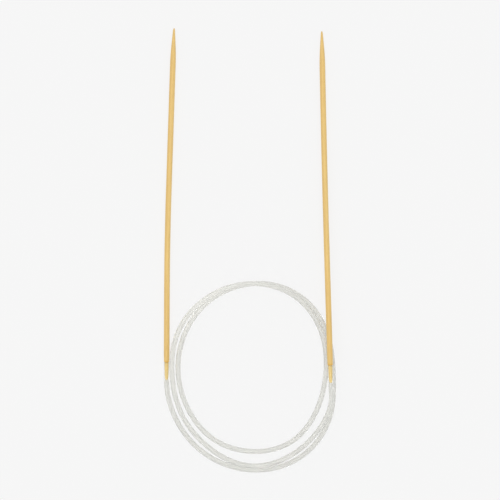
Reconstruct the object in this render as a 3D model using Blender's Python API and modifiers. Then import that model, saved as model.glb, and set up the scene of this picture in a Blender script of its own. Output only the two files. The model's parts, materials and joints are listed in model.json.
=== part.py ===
"""Circular knitting needle: two bamboo needles joined by one hollow, flexible cord.

Each needle is turned from one stick: a blunt point in front, and a shoulder with a
thin spigot behind. The cord is a plastic tube, and one end of it is pushed over each
spigot. The needle lies flat with its cord coiled two and a half turns and both points
facing +Y. The left needle (-X) starts the coil on the table, and each turn climbs over
the turn before it, so the right needle leaves the coil from the top and leans down
until its point end touches the table.

The cord is cut into short links, each one a piece of the same tube bent to the coil's
curve. The links hinge on each other, so that the coil can open into a straight line.

Metres, +Z up, table at z = 0. The origin is the middle of the footprint, on the table.
"""

import math

import bpy
import numpy as np
from mathutils import Vector

MM = 0.001

# --- Driving dimensions ------------------------------------------------------------

# Needles
NEEDLE_DIAMETER = 2.25 * MM
NEEDLE_LENGTH = 131.5 * MM  # point to shoulder
POINT_LENGTH = 14.5 * MM  # the taper, which runs smoothly into the shaft
NOSE_LENGTH = 1.8 * MM  # its rounded end
NOSE_DIAMETER = 0.90 * MM
POINT_TOUCH = 3.6 * MM  # how far into the taper a leaning needle meets the table
WAIST_LENGTH = 3.5 * MM  # the shaft narrows a little before the shoulder
SHOULDER_DIAMETER = 2.12 * MM
SHOULDER_BEVEL_LENGTH = 0.12 * MM
SHOULDER_BEVEL_DEPTH = 0.10 * MM
SPIGOT_LENGTH = 7.0 * MM
SPIGOT_ROOT_DIAMETER = 1.18 * MM
SPIGOT_END_DIAMETER = 0.64 * MM
SPIGOT_BEVEL_LENGTH = 0.25 * MM
SPIGOT_BEVEL_DEPTH = 0.15 * MM

# Needle mesh
NEEDLE_SIDES = 16
NOSE_RINGS = (0.07, 0.25, 0.55, 1.0)  # shares of the nose, from its tip back
TAPER_RINGS = (0.15, 0.30, 0.45, 0.60, 0.80, 1.0)  # shares of the taper behind it
SHAFT_RINGS = 12
MERGE_DISTANCE = 0.01 * MM  # joins the turned profile's seam and its ends
SHARP_ANGLE = 35  # degrees between faces that keep a crisp edge

# Neither stick is quite straight: degrees it turns to its right, and where along the
# shaft the turn starts and ends, as shares of the needle's length.
LEFT_BEND = (1.64, 0.15, 0.57)
RIGHT_BEND = (0.66, 0.20, 1.00)

# Cord
CORD_DIAMETER = 2.00 * MM
CORD_BORE = 1.30 * MM
SHOULDER_GAP = 0.10 * MM  # between a shoulder and the tube's cut end
CORD_BEVEL_RESOLUTION = 2  # roundness of the tube's section
CORD_STEP = 4.5 * MM  # rough length of the straight steps that follow the curve

# The coil, seen from above: radius from its centre against the angle turned, which
# grows counterclockwise from the left needle to the right one. The first and last
# stations are the spigots' ends and the others are every 30 degrees between them, with
# one more where the cord closes up to the right needle.
COIL_CENTRE = (0.82 * MM, -48.92 * MM)
COIL_START = 183.6
COIL_END = 1074.1
COIL_STEP = 30.0
COIL_CLOSE = 1062.0
COIL_RADII_MM = (
    (33.7, 34.7, 36.3, 37.6, 37.7, 35.1)  # first half turn, along the bottom
    + (32.0, 33.8, 36.2, 35.7, 33.5, 30.8)  # over the top
    + (29.0, 28.6, 29.6, 30.2, 30.6, 29.1)  # inner turn, bottom
    + (29.0, 31.8, 35.0, 35.8, 35.0, 33.5)  # inner turn, top
    + (31.4, 31.7, 33.3, 35.8, 34.9, 33.6)  # last half turn, bottom
    + (32.8, 31.1)  # closing up, and the right spigot's end
)
LEFT_HEADING = 269.77  # degrees, the way the cord leaves the left needle
RIGHT_HEADING = 1171.68  # the way it meets the right needle, turns included
PATH_POINTS = 9001  # points worked out on the centre line

# The coil, seen from the side
CORD_REST_HEIGHT = CORD_DIAMETER / 2  # centre of the cord where it lies on the table
LAYER_GAP = 0.20 * MM
LAYER = CORD_DIAMETER + LAYER_GAP  # each layer's rise
FIRST_CLIMB = (92.0 * MM, 192.0 * MM)  # from and to, along the cord
SECOND_CLIMB = (303.0 * MM, 375.0 * MM)
LEFT_SETTLE = 15.0 * MM  # the cord drops from the needle's height over this length
RIGHT_LEAN_LENGTH = 45.0 * MM  # the cord tips over into the right needle's slope
RIGHT_RISE = 0.25 * MM  # how far above the top layer the right spigot ends

# Joints along the cord, measured from the end of each spigot
LIFT_AT = 2.0 * MM
SWING_AT = 7.0 * MM
BEND_AT = 12.0 * MM  # the first of the evenly spaced bends
LINKS = 30  # between the two outermost bends
END_JOINT_GAP = 0.64 * MM  # half the cut at a lift or swing, clear at 60 degrees
BEND_GAP = 0.46 * MM  # half the cut at a bend

# --- The coil from above -----------------------------------------------------------


def clamped_cubic(x, y, first_slope, last_slope):
    """The cubic spline through (x, y) with the given slopes at its two ends."""
    step = np.diff(x)
    slope = np.diff(y) / step
    count = len(x)
    rows = np.zeros((count, count))
    right = np.zeros(count)
    rows[0, :2] = 2 * step[0], step[0]
    right[0] = 6 * (slope[0] - first_slope)
    rows[-1, -2:] = step[-1], 2 * step[-1]
    right[-1] = 6 * (last_slope - slope[-1])
    for i in range(1, count - 1):
        rows[i, i - 1 : i + 2] = step[i - 1], 2 * (step[i - 1] + step[i]), step[i]
        right[i] = 6 * (slope[i] - slope[i - 1])
    curvature = np.linalg.solve(rows, right)

    def value(at):
        i = np.clip(np.searchsorted(x, at) - 1, 0, count - 2)
        before = (x[i + 1] - at) / step[i]  # weight of the station before
        after = (at - x[i]) / step[i]
        bulge = (before**3 - before) * curvature[i] + (after**3 - after) * curvature[i + 1]
        return before * y[i] + after * y[i + 1] + bulge * step[i] ** 2 / 6

    return value


def coil_outline():
    """(distance along the cord, x, y) of closely spaced points on its centre line."""
    first_step, end_step = COIL_START // COIL_STEP + 1, COIL_END // COIL_STEP + 1
    even = np.arange(first_step, end_step) * COIL_STEP
    stations = np.concatenate([[COIL_START], even, [COIL_CLOSE, COIL_END]])
    radii = np.array(COIL_RADII_MM) * MM
    # The end slopes make the cord leave each spigot in line with it.
    first_slope = radii[0] * math.tan(math.radians(COIL_START + 90 - LEFT_HEADING))
    last_slope = radii[-1] * math.tan(math.radians(COIL_END + 90 - RIGHT_HEADING))
    radius = clamped_cubic(np.radians(stations), radii, first_slope, last_slope)
    angle = np.radians(np.linspace(COIL_START, COIL_END, PATH_POINTS))
    x = COIL_CENTRE[0] + radius(angle) * np.cos(angle)
    y = COIL_CENTRE[1] + radius(angle) * np.sin(angle)
    along = np.concatenate([[0.0], np.cumsum(np.hypot(np.diff(x), np.diff(y)))])
    return along, x, y


PATH_ALONG, PATH_X, PATH_Y = coil_outline()
CORD_LENGTH = float(PATH_ALONG[-1])  # spigot end to spigot end

# --- How the needles lie -----------------------------------------------------------


def point_radius(back):
    """The needle's radius at distance back from the very end of the point."""
    full, nose = NEEDLE_DIAMETER / 2, NOSE_DIAMETER / 2
    if back < NOSE_LENGTH:
        return nose * math.sqrt(1 - (1 - back / NOSE_LENGTH) ** 2)
    share = min((back - NOSE_LENGTH) / (POINT_LENGTH - NOSE_LENGTH), 1.0)
    return nose + (full - nose) * math.sin(math.pi / 2 * share)


def sideways(ahead, bend):
    """How far a bent needle's centre is right of its axis, ahead of its shoulder."""
    degrees, start, end = bend
    length = (end - start) * NEEDLE_LENGTH
    share = max((ahead / NEEDLE_LENGTH - start) / (end - start), 0.0)
    # The slope follows a smooth step, and this is the slope's sum from the shoulder.
    slope_sum = share**3 - share**4 / 2 if share < 1 else share - 0.5
    return math.radians(degrees) * length * slope_sum


def direction(heading, lean=0.0):
    """The way of a heading in degrees, leaning down by an angle in radians."""
    turn = math.radians(heading)
    level = math.cos(lean)
    return Vector((math.cos(turn) * level, math.sin(turn) * level, -math.sin(lean)))


# Half the height of a needle that lies on one of its flats, on its shaft or its taper
FLAT_SHARE = math.cos(math.pi / NEEDLE_SIDES)
NEEDLE_REST_HEIGHT = NEEDLE_DIAMETER / 2 * FLAT_SHARE
TOUCH_HEIGHT = point_radius(POINT_LENGTH - POINT_TOUCH) * FLAT_SHARE

# The right needle slopes from its spigot's end down to where its taper touches.
RIGHT_HEIGHT = CORD_REST_HEIGHT + 2 * LAYER + RIGHT_RISE
TOUCH_DISTANCE = SPIGOT_LENGTH + NEEDLE_LENGTH - POINT_LENGTH + POINT_TOUCH
RIGHT_LEAN = math.asin((RIGHT_HEIGHT - TOUCH_HEIGHT) / TOUCH_DISTANCE)

# The way each needle points. The cord leaves the left one backwards.
LEFT_FORWARD = direction(LEFT_HEADING + 180)
RIGHT_FORWARD = direction(RIGHT_HEADING, RIGHT_LEAN)

# --- The path of the cord ----------------------------------------------------------


def smooth(share):
    share = np.clip(share, 0.0, 1.0)
    return share * share * (3 - 2 * share)


def cord_height(along):
    """Height of the cord's centre line at a distance along it."""
    z = CORD_REST_HEIGHT + (NEEDLE_REST_HEIGHT - CORD_REST_HEIGHT) * (
        1 - smooth(along / LEFT_SETTLE)
    )
    for start, end in (FIRST_CLIMB, SECOND_CLIMB):
        z = z + LAYER * smooth((along - start) / (end - start))
    # The last stretch leaves the top layer level and ends on the needle's slope.
    share = np.clip((along - CORD_LENGTH + RIGHT_LEAN_LENGTH) / RIGHT_LEAN_LENGTH, 0.0, 1.0)
    z = z + RIGHT_RISE * smooth(share)
    return z - math.tan(RIGHT_LEAN) * RIGHT_LEAN_LENGTH * (share**3 - share**2)


PATH_Z = cord_height(PATH_ALONG)


def path_point(along):
    """A point on the cord's centre line. Past either end it runs on down the spigot."""
    inside = min(max(along, 0.0), CORD_LENGTH)
    point = Vector(
        [float(np.interp(inside, PATH_ALONG, axis)) for axis in (PATH_X, PATH_Y, PATH_Z)]
    )
    if along < 0:
        point += LEFT_FORWARD * -along
    if along > CORD_LENGTH:
        point += RIGHT_FORWARD * (along - CORD_LENGTH)
    return point


def hinge_stations():
    """Distance along the cord of every hinge, from the left needle to the right one."""
    bends = np.linspace(BEND_AT, CORD_LENGTH - BEND_AT, LINKS + 1)
    left = [LIFT_AT, SWING_AT]
    right = [CORD_LENGTH - along for along in reversed(left)]
    return left + [float(along) for along in bends] + right


def piece_names():
    """The pieces of cord between the hinges, from left to right."""
    middle = [f"cord_link_{i + 1:02d}" for i in range(LINKS)]
    left = ["cord_end_left", "cord_neck_left_front", "cord_neck_left_rear"]
    right = ["cord_neck_right_rear", "cord_neck_right_front", "cord_end_right"]
    return left + middle + right


def piece_spans(hinges):
    """(start, end) along the cord of every piece, with the cuts at the hinges open."""
    end_gaps = [END_JOINT_GAP] * 2
    gaps = end_gaps + [BEND_GAP] * (LINKS + 1) + end_gaps
    overlap = SPIGOT_LENGTH - SHOULDER_GAP  # the tube that covers a spigot
    starts = [-overlap] + [hinge + gap for hinge, gap in zip(hinges, gaps)]
    ends = [hinge - gap for hinge, gap in zip(hinges, gaps)] + [CORD_LENGTH + overlap]
    return list(zip(starts, ends))


# --- Scene and materials -----------------------------------------------------------


def clear_scene():
    for obj in list(bpy.data.objects):
        bpy.data.objects.remove(obj, do_unlink=True)


def material(name, colour, roughness, alpha=1.0):
    finish = bpy.data.materials.new(name)
    finish.use_nodes = True
    shader = finish.node_tree.nodes["Principled BSDF"]
    shader.inputs["Base Color"].default_value = (*colour, 1.0)
    shader.inputs["Roughness"].default_value = roughness
    shader.inputs["Alpha"].default_value = alpha
    finish.diffuse_color = (*colour, alpha)
    return finish


def bamboo():
    return material("bamboo", colour=(0.80, 0.55, 0.21), roughness=0.42)


def frosted_tube():
    return material("frosted_tube", colour=(0.72, 0.72, 0.69), roughness=0.35, alpha=0.6)


def add_object(name, data, pivot, parent, collection):
    """An object with its origin on its pivot, as a child of the piece it hinges on."""
    obj = bpy.data.objects.new(name, data)
    collection.objects.link(obj)
    obj.parent = parent
    obj["pivot"] = pivot
    base = Vector(parent["pivot"]) if parent else Vector((0, 0, 0))
    obj.location = pivot - base
    return obj


# --- Cord --------------------------------------------------------------------------


def cord_piece(name, span, pivot, parent, collection, finish):
    """A length of tube along the coil, as a bevelled curve with a solidified wall."""
    curve = bpy.data.curves.new(name, "CURVE")
    curve.dimensions = "3D"
    curve.twist_mode = "Z_UP"
    curve.bevel_depth = CORD_DIAMETER / 2
    curve.bevel_resolution = CORD_BEVEL_RESOLUTION
    curve.use_fill_caps = False
    curve.materials.append(finish)

    start, end = span
    steps = max(1, round((end - start) / CORD_STEP))
    spline = curve.splines.new("POLY")
    spline.points.add(steps)
    for i, point in enumerate(spline.points):
        centre = path_point(start + (end - start) * i / steps) - pivot
        point.co = (*centre, 1.0)

    obj = add_object(name, curve, pivot, parent, collection)
    wall = obj.modifiers.new("wall", "SOLIDIFY")
    wall.thickness = (CORD_DIAMETER - CORD_BORE) / 2
    wall.offset = -1.0  # inwards from the tube's outside
    return obj


# --- Needles -----------------------------------------------------------------------


def needle_profile():
    """(distance in front of the shoulder, radius) from the point to the spigot's end."""
    nose = [share * NOSE_LENGTH for share in NOSE_RINGS]
    taper = [NOSE_LENGTH + share * (POINT_LENGTH - NOSE_LENGTH) for share in TAPER_RINGS]
    outline = [(NEEDLE_LENGTH, 0.0)]
    outline += [(NEEDLE_LENGTH - back, point_radius(back)) for back in nose + taper]

    shaft_front = NEEDLE_LENGTH - POINT_LENGTH
    for i in range(1, SHAFT_RINGS + 1):
        ahead = shaft_front + (WAIST_LENGTH - shaft_front) * i / SHAFT_RINGS
        outline.append((ahead, NEEDLE_DIAMETER / 2))

    shoulder, spigot_end = SHOULDER_DIAMETER / 2, SPIGOT_END_DIAMETER / 2
    return outline + [
        (SHOULDER_BEVEL_LENGTH, shoulder),
        (0.0, shoulder - SHOULDER_BEVEL_DEPTH),
        (0.0, SPIGOT_ROOT_DIAMETER / 2),
        (-SPIGOT_LENGTH + SPIGOT_BEVEL_LENGTH, spigot_end),
        (-SPIGOT_LENGTH, spigot_end - SPIGOT_BEVEL_DEPTH),
        (-SPIGOT_LENGTH, 0.0),
    ]


def turned_mesh(name, collection):
    """A straight needle turned round Z, with its shoulder at z = 0."""
    profile = bpy.data.meshes.new(name + "_profile")
    points = [(radius, 0.0, ahead) for ahead, radius in needle_profile()]
    profile.from_pydata(points, [(i, i + 1) for i in range(len(points) - 1)], [])
    blank = bpy.data.objects.new(name + "_blank", profile)
    collection.objects.link(blank)
    turning = blank.modifiers.new("turning", "SCREW")
    turning.axis = "Z"
    turning.steps = turning.render_steps = NEEDLE_SIDES
    turning.use_merge_vertices = True
    turning.merge_threshold = MERGE_DISTANCE
    bpy.context.view_layer.update()
    graph = bpy.context.evaluated_depsgraph_get()
    mesh = bpy.data.meshes.new_from_object(blank.evaluated_get(graph))
    mesh.name = name
    bpy.data.objects.remove(blank)
    return mesh


def needle(name, shoulder, forward, bend, pivot, parent, collection, finish):
    """A needle turned round its own axis, then bent a little to its right."""
    mesh = turned_mesh(name, collection)

    # World axes of the needle: side is level and to its right.
    side = forward.cross(Vector((0, 0, 1))).normalized()
    up = side.cross(forward).normalized()
    half_flat = math.pi / NEEDLE_SIDES  # turns a flat, not an edge, to the table
    for vertex in mesh.vertices:
        x, y, ahead = vertex.co
        radius = math.hypot(x, y)
        turn = math.atan2(y, x) + half_flat
        vertex.co = (
            shoulder
            - pivot
            + forward * ahead
            + side * (radius * math.cos(turn) + sideways(ahead, bend))
            + up * (radius * math.sin(turn))
        )
    # Side, up and forward are left-handed, so the move mirrors the turned blank.
    mesh.flip_normals()

    mesh.materials.append(finish)
    mesh.shade_smooth()
    mesh.set_sharp_from_angle(angle=math.radians(SHARP_ANGLE))
    return add_object(name, mesh, pivot, parent, collection)


# --- Assembly ----------------------------------------------------------------------


def main():
    clear_scene()
    collection = bpy.data.collections.new("circular_knitting_needle")
    bpy.context.scene.collection.children.link(collection)
    wood = bamboo()
    plastic = frosted_tube()

    # Piece i lies between hinges i - 1 and i.
    hinges = hinge_stations()
    pivots = [path_point(along) for along in hinges]
    names = piece_names()
    spans = piece_spans(hinges)
    last = len(names) - 1
    middle = len(names) // 2  # the link that all the others hang from
    made = {}

    def build(i, pivot, parent):
        made[i] = cord_piece(names[i], spans[i], pivot, parent, collection, plastic)

    build(middle, path_point((hinges[middle - 1] + hinges[middle]) / 2), None)
    for i in range(middle - 1, 0, -1):
        build(i, pivots[i], made[i + 1])
    for i in range(middle + 1, last):
        build(i, pivots[i - 1], made[i - 1])

    # Each needle hangs from the outermost neck, and carries the tube on its spigot.
    for name, shoulder_at, forward, bend, pivot, neck, end in (
        ("left_needle", -SPIGOT_LENGTH, LEFT_FORWARD, LEFT_BEND, pivots[0], 1, 0),
        ("right_needle", CORD_LENGTH + SPIGOT_LENGTH, RIGHT_FORWARD, RIGHT_BEND,
         pivots[-1], last - 1, last),
    ):
        shoulder = path_point(shoulder_at)
        stick = needle(name, shoulder, forward, bend, pivot, made[neck], collection, wood)
        build(end, pivot, stick)


main()
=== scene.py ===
"""A circular knitting needle: two waxed bamboo needles joined by a coiled, frosted cord.

It lies on the table at z = 0. The needles run side by side towards +Y, the left one at -X.
The cord winds anticlockwise through about two and a half turns on the -Y side, climbing a
layer twice. It is a hollow tube, cut half way between hinges, so that each piece spans
one hinge. Sizes are in mm up to the stage, which is in metres.
"""

import json
import math

import bmesh
import bpy
import numpy as np
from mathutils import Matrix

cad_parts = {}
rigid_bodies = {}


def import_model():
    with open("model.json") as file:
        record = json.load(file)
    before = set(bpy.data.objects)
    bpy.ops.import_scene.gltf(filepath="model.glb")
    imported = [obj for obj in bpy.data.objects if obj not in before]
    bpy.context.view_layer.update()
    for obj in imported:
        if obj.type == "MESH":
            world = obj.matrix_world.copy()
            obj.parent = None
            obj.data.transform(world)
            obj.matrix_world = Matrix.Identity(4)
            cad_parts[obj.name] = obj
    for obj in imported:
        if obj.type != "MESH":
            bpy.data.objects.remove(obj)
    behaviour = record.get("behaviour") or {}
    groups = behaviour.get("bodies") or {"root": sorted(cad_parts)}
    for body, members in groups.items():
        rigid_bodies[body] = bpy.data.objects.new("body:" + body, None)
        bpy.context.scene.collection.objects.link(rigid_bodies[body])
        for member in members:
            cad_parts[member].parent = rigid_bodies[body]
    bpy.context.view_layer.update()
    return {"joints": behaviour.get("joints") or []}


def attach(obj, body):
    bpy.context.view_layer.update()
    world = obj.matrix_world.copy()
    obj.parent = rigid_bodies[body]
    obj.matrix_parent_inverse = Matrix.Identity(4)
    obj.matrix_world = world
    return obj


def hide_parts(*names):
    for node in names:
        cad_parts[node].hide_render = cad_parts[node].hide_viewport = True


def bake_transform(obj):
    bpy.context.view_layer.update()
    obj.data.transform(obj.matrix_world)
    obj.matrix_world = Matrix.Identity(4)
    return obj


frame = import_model()
MM = 0.001

# --- Dimensions ----------------------------------------------------------------------

NEEDLE_R = 1.125
NEEDLE_LENGTH = 131.5  # shoulder to point
FLAT_SHARE = math.cos(math.pi / 16)  # a 16-sided round lies on a flat, inside its radius
NEEDLE_REST = NEEDLE_R * FLAT_SHARE
POINT_LENGTH = 14.5
POINT_TOUCH = 3.6  # the right needle meets the table this far into its taper
NOSE_LENGTH, NOSE_R = 1.8, 0.45
SPIGOT_LENGTH, SPIGOT_ROOT_R, SPIGOT_END_R = 7.0, 0.59, 0.32
# Each shaft's bend: degrees, then its start and end as shares of the needle's length
LEFT_BEND, RIGHT_BEND = (1.64, 0.15, 0.57), (0.66, 0.20, 1.00)
CORD_R, BORE_R = 1.0, 0.65
SHOULDER_GAP = 0.10  # between the cord's cut end and the needle's shoulder

# The coil seen from above, in polar form: degrees about its centre
COIL_CENTRE = (0.82, -48.92)
COIL_START, COIL_END, COIL_STEP, COIL_CLOSE = 183.6, 1074.1, 30.0, 1062.0
# Radius at COIL_START, at each multiple of COIL_STEP, at COIL_CLOSE and at COIL_END
COIL_RADII = (
    33.7, 34.7, 36.3, 37.6, 37.7, 35.1, 32.0, 33.8, 36.2, 35.7, 33.5,
    30.8, 29.0, 28.6, 29.6, 30.2, 30.6, 29.1, 29.0, 31.8, 35.0, 35.8,
    35.0, 33.5, 31.4, 31.7, 33.3, 35.8, 34.9, 33.6, 32.8, 31.1,
)  # fmt: skip
LEFT_HEADING, RIGHT_HEADING = 269.77, 1171.68  # the cord's direction at its two spigots

# Heights of the centre line; ranges and lengths are measured along the cord
CORD_REST, LAYER = CORD_R, 2.2
CLIMBS = ((92.0, 192.0), (303.0, 375.0))  # start and end of each one-layer climb
LEFT_SETTLE, RIGHT_LEAN_LENGTH, RIGHT_RISE = 15.0, 45.0, 0.25

# Hinges: two at each neck, then LINKS links, measured in from either end of the cord
LIFT_AT, SWING_AT, BEND_AT, LINKS = 2.0, 7.0, 12.0, 30

# --- Centre line ---------------------------------------------------------------------


def clamped_cubic(knots, values, first_slope, last_slope):
    """A cubic spline through the knots with a given slope at each end."""
    step = np.diff(knots)
    rise = np.diff(values) / step
    count = len(knots)
    rows, right = np.zeros((count, count)), np.zeros(count)
    rows[0, :2] = 2 * step[0], step[0]
    right[0] = 6 * (rise[0] - first_slope)
    rows[-1, -2:] = step[-1], 2 * step[-1]
    right[-1] = 6 * (last_slope - rise[-1])
    for i in range(1, count - 1):
        rows[i, i - 1 : i + 2] = step[i - 1], 2 * (step[i - 1] + step[i]), step[i]
        right[i] = 6 * (rise[i] - rise[i - 1])
    bend = np.linalg.solve(rows, right)

    def value(at):
        i = np.clip(np.searchsorted(knots, at) - 1, 0, count - 2)
        before, after = (knots[i + 1] - at) / step[i], (at - knots[i]) / step[i]
        curve = (before**3 - before) * bend[i] + (after**3 - after) * bend[i + 1]
        return before * values[i] + after * values[i + 1] + curve * step[i] ** 2 / 6

    return value


def smooth(share):
    share = np.clip(share, 0.0, 1.0)
    return share * share * (3 - 2 * share)


def coil_outline():
    """Distance along the cord, x and y, finely sampled from the left end to the right."""
    multiples = np.arange(COIL_START // COIL_STEP + 1, COIL_END // COIL_STEP + 1)
    stations = np.concatenate([[COIL_START], multiples * COIL_STEP, [COIL_CLOSE, COIL_END]])
    radii = np.array(COIL_RADII)
    first = radii[0] * math.tan(math.radians(COIL_START + 90 - LEFT_HEADING))
    last = radii[-1] * math.tan(math.radians(COIL_END + 90 - RIGHT_HEADING))
    radius = clamped_cubic(np.radians(stations), radii, first, last)
    angle = np.radians(np.linspace(COIL_START, COIL_END, 9001))
    x = COIL_CENTRE[0] + radius(angle) * np.cos(angle)
    y = COIL_CENTRE[1] + radius(angle) * np.sin(angle)
    along = np.concatenate([[0.0], np.cumsum(np.hypot(np.diff(x), np.diff(y)))])
    return along, x, y


def point_radius(back):
    """The needle's radius this far back from its point."""
    if back < NOSE_LENGTH:
        return NOSE_R * math.sqrt(max(1 - (1 - back / NOSE_LENGTH) ** 2, 0.0))
    share = min((back - NOSE_LENGTH) / (POINT_LENGTH - NOSE_LENGTH), 1.0)
    return NOSE_R + (NEEDLE_R - NOSE_R) * math.sin(math.pi / 2 * share)


ALONG, PATH_X, PATH_Y = coil_outline()
CORD_LENGTH = float(ALONG[-1])
RIGHT_HEIGHT = CORD_REST + len(CLIMBS) * LAYER + RIGHT_RISE
RIGHT_LEAN = math.asin(
    (RIGHT_HEIGHT - point_radius(POINT_LENGTH - POINT_TOUCH) * FLAT_SHARE)
    / (SPIGOT_LENGTH + NEEDLE_LENGTH - POINT_LENGTH + POINT_TOUCH)
)


def cord_height(along):
    z = CORD_REST + (NEEDLE_REST - CORD_REST) * (1 - smooth(along / LEFT_SETTLE))
    for start, end in CLIMBS:
        z = z + LAYER * smooth((along - start) / (end - start))
    share = np.clip((along - CORD_LENGTH + RIGHT_LEAN_LENGTH) / RIGHT_LEAN_LENGTH, 0.0, 1.0)
    z = z + RIGHT_RISE * smooth(share)
    # The last stretch turns down into the right needle's lean.
    return z - math.tan(RIGHT_LEAN) * RIGHT_LEAN_LENGTH * (share**3 - share**2)


PATH_Z = cord_height(ALONG)
left_turn, right_turn = math.radians(LEFT_HEADING), math.radians(RIGHT_HEADING)
# Unit directions from each end of the cord towards its needle's point
LEFT_AXIS = np.array([-math.cos(left_turn), -math.sin(left_turn), 0.0])
RIGHT_AXIS = np.array(
    [
        math.cos(right_turn) * math.cos(RIGHT_LEAN),
        math.sin(right_turn) * math.cos(RIGHT_LEAN),
        -math.sin(RIGHT_LEAN),
    ]
)


def path_point(along):
    """Centre line at a distance from the left spigot's end, run on down both spigots."""
    inside = min(max(along, 0.0), CORD_LENGTH)
    point = np.array([np.interp(inside, ALONG, line) for line in (PATH_X, PATH_Y, PATH_Z)])
    if along < 0:
        point = point + LEFT_AXIS * -along
    if along > CORD_LENGTH:
        point = point + RIGHT_AXIS * (along - CORD_LENGTH)
    return point


def tangent(along):
    step = path_point(along + 0.05) - path_point(along - 0.05)
    return step / np.linalg.norm(step)


HINGES = [
    LIFT_AT,
    SWING_AT,
    *np.linspace(BEND_AT, CORD_LENGTH - BEND_AT, LINKS + 1).tolist(),
    CORD_LENGTH - SWING_AT,
    CORD_LENGTH - LIFT_AT,
]
BODIES = [
    "left_needle",
    "cord_neck_left_front",
    "cord_neck_left_rear",
    *(f"cord_link_{i + 1:02d}" for i in range(LINKS)),
    "cord_neck_right_rear",
    "cord_neck_right_front",
    "right_needle",
]
HINGE_SLACK = 0.02

# Every hinge of the frame must lie on the centre line.
for along, parent, child in zip(HINGES, BODIES, BODIES[1:]):
    joint = next(j for j in frame["joints"] if {j["parent"], j["child"]} == {parent, child})
    off = np.linalg.norm(np.array(joint["pos_m"]) / MM - path_point(along))
    if off > HINGE_SLACK:
        raise SystemExit(f"hinge {joint['name']} is {off:.3f} mm off the centre line")

# --- Material helpers ----------------------------------------------------------------


def node(tree, kind, inputs=None, **settings):
    """Add a node. An input takes a value, a socket, or a node for its first output."""
    made = tree.nodes.new(kind)
    for key, value in settings.items():
        setattr(made, key, value)
    for key, value in (inputs or {}).items():
        socket = made.inputs[key]
        if isinstance(value, bpy.types.Node):
            value = value.outputs[0]
        if isinstance(value, bpy.types.NodeSocket):
            tree.links.new(value, socket)
        elif socket.type == "RGBA":
            socket.default_value = (*value, 1.0)
        else:
            socket.default_value = value
    return made


def new_material(name):
    material = bpy.data.materials.new(name)
    material.use_nodes = True
    material.node_tree.nodes.clear()
    return material, material.node_tree


def output(tree, shader):
    node(tree, "ShaderNodeOutputMaterial", {0: shader})


def mix_shader(tree, share, first, second):
    return node(tree, "ShaderNodeMixShader", {0: share, 1: first, 2: second})


def math_node(tree, operation, *values, clamp=False):
    inputs = dict(enumerate(values))
    return node(tree, "ShaderNodeMath", inputs, operation=operation, use_clamp=clamp)


def ramp(tree, value, stops):
    """A colour ramp. Each stop is (position, colour or grey level)."""
    made = node(tree, "ShaderNodeValToRGB", {0: value})
    while len(made.color_ramp.elements) < len(stops):
        made.color_ramp.elements.new(0.5)
    for element, (at, colour) in zip(made.color_ramp.elements, stops):
        rgb = colour if isinstance(colour, tuple) else (colour,) * 3
        element.position = at
        element.color = (*rgb, 1.0)
    return made


def mix_colour(tree, blend, share, first, second):
    inputs = {0: share, 6: first, 7: second}
    return node(
        tree, "ShaderNodeMix", inputs, data_type="RGBA", blend_type=blend
    ).outputs[2]


def grain_coords(tree):
    return node(tree, "ShaderNodeAttribute", attribute_name="grain").outputs["Vector"]


def stretched_noise(tree, coords, across, along, detail, rough, shift):
    """Noise with its own frequency across and along the grain, per mm."""
    scaled = node(
        tree,
        "ShaderNodeVectorMath",
        {0: coords, 1: (across, across, along), 2: (shift, shift * 1.7, shift * 0.6)},
        operation="MULTIPLY_ADD",
    )
    inputs = {"Scale": 1.0, "Detail": detail, "Roughness": rough, "Vector": scaled}
    return node(tree, "ShaderNodeTexNoise", inputs).outputs["Fac"]


def bump(tree, strength, height):
    relief = 0.02 * MM
    inputs = {"Strength": strength, "Distance": relief, "Height": height}
    return node(tree, "ShaderNodeBump", inputs)


# --- Materials -----------------------------------------------------------------------


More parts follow.
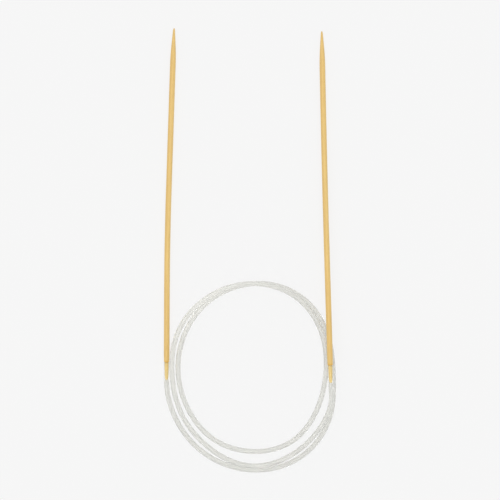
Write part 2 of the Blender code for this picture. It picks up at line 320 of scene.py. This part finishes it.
def bamboo():
    """Waxed bamboo: long fibres, short brown bundle ends, and a darker band at the cut
    shoulder, partly glue and partly painted shade.
    """
    dash_colour = (0.560, 0.340, 0.120)
    bare_colour, bare_share = (0.940, 0.698, 0.222), 0.75
    # The shoulder band's colour: the glue line, darkened further by painted shade for the
    # shadow of the gap.
    gap_shade_and_glue_colour = (0.755, 0.465, 0.085)
    bare_before = -0.02  # mm in front of the shoulder, as is the centre of the glue and painted shade band
    # Centre, fade distance and strength of the glue and painted shade band at the shoulder.
    gap_shade_and_glue_at, gap_shade_and_glue_reach, gap_shade_and_glue_gain = 0.06, 0.62, 1.4

    material, tree = new_material("bamboo")
    coords = grain_coords(tree)
    axial = node(tree, "ShaderNodeSeparateXYZ", {0: coords}).outputs[2]

    def noise(**shape):
        return stretched_noise(tree, coords, **shape)

    slow = noise(across=0.35, along=0.016, detail=2.0, rough=0.5, shift=3.1)
    fibre = noise(across=5.5, along=0.06, detail=4.0, rough=0.6, shift=11.7)
    fine = noise(across=16.0, along=0.22, detail=3.0, rough=0.6, shift=29.3)
    bundle = noise(across=9.0, along=0.35, detail=1.0, rough=0.4, shift=53.9)

    body_stops = [
        (0.30, (0.785, 0.516, 0.172)),
        (0.50, (0.832, 0.568, 0.197)),
        (0.72, (0.866, 0.622, 0.244)),
    ]
    body = ramp(tree, slow, body_stops)
    streaks = ramp(tree, fibre, [(0.30, 0.86), (0.50, 0.97), (0.70, 1.05)])
    colour = mix_colour(tree, "MULTIPLY", share=1.0, first=body, second=streaks)
    hair = ramp(tree, fine, [(0.32, 0.91), (0.62, 1.02)])
    colour = mix_colour(tree, "MULTIPLY", share=0.8, first=colour, second=hair)
    dashes = ramp(tree, bundle, [(0.60, 0.0), (0.69, 0.42)])
    colour = mix_colour(tree, "MIX", dashes, colour, dash_colour)

    # The spigot has no wax on it and is paler.
    bare = math_node(tree, "LESS_THAN", axial, bare_before)
    bare = math_node(tree, "MULTIPLY", bare, bare_share)
    colour = mix_colour(tree, "MIX", bare, colour, bare_colour)
    # The band at the cut shoulder is painted darker: partly the glue line there, partly
    # painted shade for the shadow in the gap between the shoulder and the cord's end.
    gap_shade_and_glue = math_node(tree, "ABSOLUTE", math_node(tree, "SUBTRACT", axial, gap_shade_and_glue_at))
    gap_shade_and_glue = math_node(tree, "DIVIDE", gap_shade_and_glue, gap_shade_and_glue_reach)
    gap_shade_and_glue = math_node(tree, "SUBTRACT", 1.0, gap_shade_and_glue, clamp=True)
    gap_shade_and_glue = math_node(tree, "MULTIPLY", gap_shade_and_glue, gap_shade_and_glue_gain, clamp=True)
    colour = mix_colour(tree, "MIX", gap_shade_and_glue, colour, gap_shade_and_glue_colour)

    # The relief is mostly the fibres, with some of the fine grain.
    coarse_part = math_node(tree, "MULTIPLY", fibre, 0.6)
    fine_part = math_node(tree, "MULTIPLY", fine, 0.4)
    height = math_node(tree, "ADD", coarse_part, fine_part)
    inputs = {
        "IOR": 1.48,
        "Specular IOR Level": 0.35,
        "Coat Weight": 0.15,
        "Coat Roughness": 0.28,
        "Base Color": colour,
        "Roughness": ramp(tree, fibre, [(0.30, 0.50), (0.70, 0.36)]),
        "Normal": bump(tree, strength=0.35, height=height),
    }
    output(tree, node(tree, "ShaderNodeBsdfPrincipled", inputs))
    return material


def frosted(name, haze, edge_haze, rough):
    """Frosted tube skin: glassy, with a milky share that grows where it is seen edge on."""
    tint, milk_colour = (0.988, 0.987, 0.978), (0.797, 0.797, 0.782)
    shadow_tint = (0.93, 0.93, 0.92)
    edge_power = 2.2  # higher keeps the milk nearer the tube's edges
    rough_spread = 0.04

    material, tree = new_material(name)
    coords = grain_coords(tree)
    cloud = stretched_noise(
        tree, coords, across=0.9, along=0.12, detail=3.0, rough=0.55, shift=7.3
    )
    drawn = stretched_noise(
        tree, coords, across=5.0, along=0.03, detail=2.0, rough=0.5, shift=17.9
    )

    facing = node(tree, "ShaderNodeLayerWeight", {"Blend": 0.5}).outputs["Facing"]
    edge = math_node(tree, "POWER", facing, edge_power)
    share = math_node(
        tree, "ADD", haze, math_node(tree, "MULTIPLY", edge, edge_haze - haze)
    )
    mottled = ramp(tree, cloud, [(0.30, 0.93), (0.70, 1.07)])
    share = math_node(tree, "MULTIPLY", share, mottled, clamp=True)

    normal = bump(tree, strength=0.25, height=drawn)
    roughness = ramp(tree, drawn, [(0.30, rough - rough_spread), (0.70, rough + rough_spread)])
    glass = {"IOR": 1.45, "Color": tint, "Roughness": roughness, "Normal": normal}
    clear = node(tree, "ShaderNodeBsdfGlass", glass)
    milk_inputs = {"Color": milk_colour, "Normal": normal}
    near = node(tree, "ShaderNodeBsdfDiffuse", milk_inputs)
    far = node(tree, "ShaderNodeBsdfTranslucent", milk_inputs)
    milk = mix_shader(tree, 0.5, near, far)
    skin = mix_shader(tree, share, clear, milk)

    # Light for shadows passes the thin wall almost straight.
    through = node(tree, "ShaderNodeBsdfTransparent", {0: shadow_tint})
    shadow_ray = node(tree, "ShaderNodeLightPath").outputs["Is Shadow Ray"]
    output(tree, mix_shader(tree, shadow_ray, skin, through))
    return material


def clear_glue():
    material, tree = new_material("clear_glue")
    output(tree, node(tree, "ShaderNodeBsdfTransparent"))
    return material


# --- Mesh helpers --------------------------------------------------------------------


def turns(sides, shift=0.0):
    """Cosine and sine at even turns round a ring; shift is a share of one side."""
    angles = [2 * math.pi * (j + shift) / sides for j in range(sides)]
    return [(math.cos(angle), math.sin(angle)) for angle in angles]


NEEDLE_TURNS, TUBE_TURNS = turns(48, shift=0.5), turns(32)


def cross_axes(direction):
    """Side and up directions across a run, the side one level with the table."""
    side = np.cross(direction, [0.0, 0.0, 1.0])
    side /= np.linalg.norm(side)
    return side, np.cross(side, direction)


def ring_points(centre, axes, radius, ring_turns):
    side, up = axes
    return [centre + side * (radius * cos) + up * (radius * sin) for cos, sin in ring_turns]


def ring_grain(radius, along, ring_turns):
    """Texture coordinates of a ring, as if the run were straight."""
    return [(radius * cos, radius * sin, along) for cos, sin in ring_turns]


def rings_mesh(name, rings, grain, finishes, slots=None, capped=False):
    """A skin over rings of points. slots gives each band's material index."""
    count, bands = len(rings[0]), len(rings) - 1
    slots = slots or [0] * bands
    faces = []
    for i in range(bands):
        here, ahead = i * count, (i + 1) * count
        for j in range(count):
            k = (j + 1) % count
            faces.append((here + j, ahead + j, ahead + k, here + k))
    face_slots = [slot for slot in slots for _ in range(count)]
    if capped:
        last = bands * count
        faces += [tuple(range(count)), tuple(reversed(range(last, last + count)))]
        face_slots += [slots[0], slots[-1]]
    mesh = bpy.data.meshes.new(name)
    mesh.from_pydata([tuple(point * MM) for ring in rings for point in ring], [], faces)
    for finish in finishes:
        mesh.materials.append(finish)
    mesh.polygons.foreach_set("material_index", face_slots)
    attribute = mesh.attributes.new("grain", "FLOAT_VECTOR", "POINT")
    attribute.data.foreach_set("vector", np.array(grain, np.float32).ravel())
    mesh.shade_smooth()
    mesh.update()
    obj = bpy.data.objects.new(name, mesh)
    bpy.context.scene.collection.objects.link(obj)
    return obj


# --- Needles -------------------------------------------------------------------------

# The spigot's rounded end: (mm in from the end, change of radius)
SPIGOT_TIP = ((0.0, -0.14), (0.06, -0.05), (0.20, 0.0))
SPIGOT_FOOT = 0.10  # the whittled taper stops this short of the shoulder
SHOULDER_FACE_R = 0.90
SHOULDER_R, EDGE_ROUND = 1.06, 0.14
WAIST = 3.5  # the shaft reaches its full radius here


def spigot_radius(axial):
    """The spigot is whittled to a slight taper that steepens towards its end."""
    share = min(max(-axial / SPIGOT_LENGTH, 0.0), 1.0)
    drop = 0.42 * share + 0.58 * share**6
    return SPIGOT_ROOT_R + (SPIGOT_END_R - SPIGOT_ROOT_R) * drop


def needle_outline():
    """(mm in front of the shoulder, radius) from the spigot's end to the point."""
    out = [(-SPIGOT_LENGTH + inset, SPIGOT_END_R + change) for inset, change in SPIGOT_TIP]
    tip = SPIGOT_TIP[-1][0]
    for k in range(1, 17):
        axial = -SPIGOT_LENGTH + tip + (SPIGOT_LENGTH - tip - SPIGOT_FOOT) * k / 16
        out.append((axial, spigot_radius(axial)))
    out += [(-0.02, SPIGOT_ROOT_R), (0.0, SPIGOT_ROOT_R + 0.05), (0.0, SHOULDER_FACE_R)]
    for k in range(5):  # the broken edge of the shoulder
        angle = math.radians(22.5 * k)
        radius = SHOULDER_R - EDGE_ROUND + EDGE_ROUND * math.sin(angle)
        out.append((EDGE_ROUND - EDGE_ROUND * math.cos(angle), radius))
    for k in range(1, 7):  # the swell from the shoulder to the full radius
        axial = EDGE_ROUND + (WAIST - EDGE_ROUND) * k / 6
        out.append((axial, SHOULDER_R + (NEEDLE_R - SHOULDER_R) * smooth(k / 6)))
    front, steps = NEEDLE_LENGTH - POINT_LENGTH, 114
    for k in range(1, steps + 1):  # the shaft, faintly uneven between its ends
        axial = WAIST + (front - WAIST) * k / steps
        uneven = 0.006 * math.sin(axial * 0.31) + 0.004 * math.sin(axial * 0.83 + 1.0)
        out.append((axial, NEEDLE_R + uneven * math.sin(math.pi * k / steps)))
    for k in range(1, 31):  # the taper, sanded into the shaft
        back = POINT_LENGTH + (NOSE_LENGTH - POINT_LENGTH) * k / 30
        out.append((NEEDLE_LENGTH - back, point_radius(back)))
    for k in range(1, 13):  # the rounded nose, in even turns
        angle = math.radians(90 - 88 * k / 12)
        axial = NEEDLE_LENGTH - NOSE_LENGTH * (1 - math.cos(angle))
        out.append((axial, NOSE_R * math.sin(angle)))
    return out


def sideways(axial, bend):
    """How far the bent shaft has moved off its straight axis."""
    degrees, start, end = bend
    share = max((axial / NEEDLE_LENGTH - start) / (end - start), 0.0)
    turned = share**3 - share**4 / 2 if share < 1 else share - 0.5
    return math.radians(degrees) * (end - start) * NEEDLE_LENGTH * turned


def needle(name, shoulder, forward, bend, finish):
    axes = cross_axes(forward)
    rings, grain = [], []
    for axial, radius in needle_outline():
        centre = shoulder + forward * axial + axes[0] * sideways(axial, bend)
        rings.append(ring_points(centre, axes, radius, NEEDLE_TURNS))
        grain.append(ring_grain(radius, axial, NEEDLE_TURNS))
    return rings_mesh(name, rings, grain, [finish], capped=True)


# --- Cord ----------------------------------------------------------------------------

TUBE_STEP = 0.75  # rough spacing of the rings
GLUE_FILM = 0.02
BORE_SLOT, GLUE_SLOT = 1, 2

CUTS = [
    -SPIGOT_LENGTH + SHOULDER_GAP,
    *((before + after) / 2 for before, after in zip(HINGES, HINGES[1:])),
    CORD_LENGTH + SPIGOT_LENGTH - SHOULDER_GAP,
]


def bore_at(along):
    """The bore's radius, drawn in to hug a spigot, and whether a spigot is there."""
    beyond = max(-along, along - CORD_LENGTH) / SPIGOT_LENGTH  # 0 at its end, 1 at its root
    hug = spigot_radius(-SPIGOT_LENGTH * (1 - min(max(beyond, 0.0), 1.0))) + GLUE_FILM
    radius = BORE_R + (hug - BORE_R) * float(smooth((beyond + 0.10) / 0.10))
    return radius, beyond > -0.02


def tube_piece(name, start, end, finishes):
    """One length of cord: the outer skin, the bore's skin, and a cut end at a shoulder."""
    count = max(2, int(round((end - start) / TUBE_STEP)))
    stations = [start + (end - start) * i / count for i in range(count + 1)]
    outer, inner, glued = [], [], []
    for along in stations:
        centre, axes = path_point(along), cross_axes(tangent(along))
        bore_radius, near_spigot = bore_at(along)
        outer.append(ring_points(centre, axes, CORD_R, TUBE_TURNS))
        inner.append(ring_points(centre, axes, bore_radius, TUBE_TURNS))
        glued.append(near_spigot)

    def skin(suffix, rings, places, radius, materials, slots=None):
        grain = [ring_grain(radius, along, TUBE_TURNS) for along in places]
        return rings_mesh(name + suffix, rings, grain, materials, slots)

    made = [skin("", outer, stations, CORD_R, finishes)]
    # The bore runs backwards, so that it faces inwards.
    slots = [GLUE_SLOT if all(pair) else BORE_SLOT for pair in zip(glued, glued[1:])][::-1]
    made.append(skin("_bore", inner[::-1], stations[::-1], BORE_R, finishes, slots))
    cut_ends = []
    if start == CUTS[0]:
        cut_ends.append((stations[0], [inner[0], outer[0]]))
    if end == CUTS[-1]:
        cut_ends.append((stations[-1], [outer[-1], inner[-1]]))
    for along, pair in cut_ends:
        made.append(skin("_cut", pair, [along, along], CORD_R, finishes[:1]))

    bpy.ops.object.select_all(action="DESELECT")
    for part in made:
        part.select_set(True)
    obj = made[0]
    bpy.context.view_layer.objects.active = obj
    bpy.ops.object.join()
    if cut_ends:  # weld the cut to both skins and keep its edges crisp
        mesh = bmesh.new()
        mesh.from_mesh(obj.data)
        bmesh.ops.remove_doubles(mesh, verts=mesh.verts, dist=1e-7)
        mesh.to_mesh(obj.data)
        mesh.free()
        obj.data.set_sharp_from_angle(angle=math.radians(50))
    return obj


# --- Build ---------------------------------------------------------------------------

wood = bamboo()
tube_finishes = [
    frosted("frosted_wall", haze=0.08, edge_haze=0.55, rough=0.16),
    frosted("frosted_bore", haze=0.80, edge_haze=0.90, rough=0.35),
    clear_glue(),
]

for name, root, axis, bend in (
    ("left_needle", -SPIGOT_LENGTH, LEFT_AXIS, LEFT_BEND),
    ("right_needle", CORD_LENGTH + SPIGOT_LENGTH, RIGHT_AXIS, RIGHT_BEND),
):
    obj = needle(name + "_shaft", path_point(root), axis, bend, wood)
    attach(obj, name)
    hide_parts(name)

BLEND_PAST = 0.5  # mm down their spigots; the end pieces' start and end are set to it, but nothing reads them after
last_piece = len(HINGES) - 1
for i in range(len(HINGES)):
    start, end = CUTS[i], CUTS[i + 1]
    obj = tube_piece(f"cord_{i + 1:02d}", start, end, tube_finishes)
    stands_for = [BODIES[i]]
    if i == 0:
        start = -BLEND_PAST
        stands_for = ["cord_end_left"]
    if i == last_piece:
        end = CORD_LENGTH + BLEND_PAST
        stands_for.append("cord_end_right")
    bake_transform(obj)
    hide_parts(*stands_for)

# --- Stage, in metres ----------------------------------------------------------------

WHITE = 0.925  # the floor's brightness as seen
GLOW = 0.85  # the share of it that a light table gives
SKY, SUN = 0.70, 1.056
FLOOR_HALF, FLOOR_DROP = 3.0, 0.00004
CAMERA_X, CAMERA_Y = 0.00004, 0.00007
DISTANCE, FOCUS_HEIGHT = 1.8, 0.002
SPAN = 0.19675  # the view's width at FOCUS_HEIGHT
SENSOR = 36.0  # mm

scene = bpy.context.scene
scene.view_settings.view_transform = "Standard"
scene.view_settings.look = "None"


def add_floor():
    mesh = bpy.data.meshes.new("floor")
    corners = [(-1, -1), (1, -1), (1, 1), (-1, 1)]
    points = [(x * FLOOR_HALF, y * FLOOR_HALF, 0) for x, y in corners]
    mesh.from_pydata(points, [], [(0, 1, 2, 3)])
    floor = bpy.data.objects.new("floor", mesh)
    floor.location.z = -FLOOR_DROP
    scene.collection.objects.link(floor)
    material, tree = new_material("pale_floor")
    shade = WHITE * (1 - GLOW) / (SKY + SUN / math.pi)
    diffuse = node(tree, "ShaderNodeBsdfDiffuse", {"Color": (shade,) * 3})
    glow = node(
        tree, "ShaderNodeEmission", {"Color": (1, 1, 1), "Strength": WHITE * GLOW}
    )
    output(tree, node(tree, "ShaderNodeAddShader", {0: diffuse, 1: glow}))
    mesh.materials.append(material)


def background(tree, strength):
    return node(tree, "ShaderNodeBackground", {"Color": (1, 1, 1), "Strength": strength})


def add_sky():
    world = bpy.data.worlds.new("sky")
    world.use_nodes = True
    tree = world.node_tree
    tree.nodes.clear()
    sky = background(tree, SKY)
    backdrop = background(tree, WHITE)  # what shows past the floor's edge
    camera_ray = node(tree, "ShaderNodeLightPath").outputs["Is Camera Ray"]
    node(tree, "ShaderNodeOutputWorld", {0: mix_shader(tree, camera_ray, sky, backdrop)})
    scene.world = world


def add_softbox():
    sun = bpy.data.lights.new("softbox", "SUN")
    sun.energy = SUN
    sun.angle = math.radians(75)
    lamp = bpy.data.objects.new("softbox", sun)
    lamp.rotation_euler = (math.radians(-8), math.radians(-6), 0)
    scene.collection.objects.link(lamp)


def add_camera():
    """A long lens straight above the table."""
    camera = bpy.data.cameras.new("camera")
    camera.sensor_width = SENSOR
    camera.lens = SENSOR * DISTANCE / SPAN
    camera.clip_end = 20.0
    eye = bpy.data.objects.new("camera", camera)
    eye.location = (CAMERA_X, CAMERA_Y, DISTANCE + FOCUS_HEIGHT)
    scene.collection.objects.link(eye)
    scene.camera = eye


add_floor()
add_sky()
add_softbox()
add_camera()
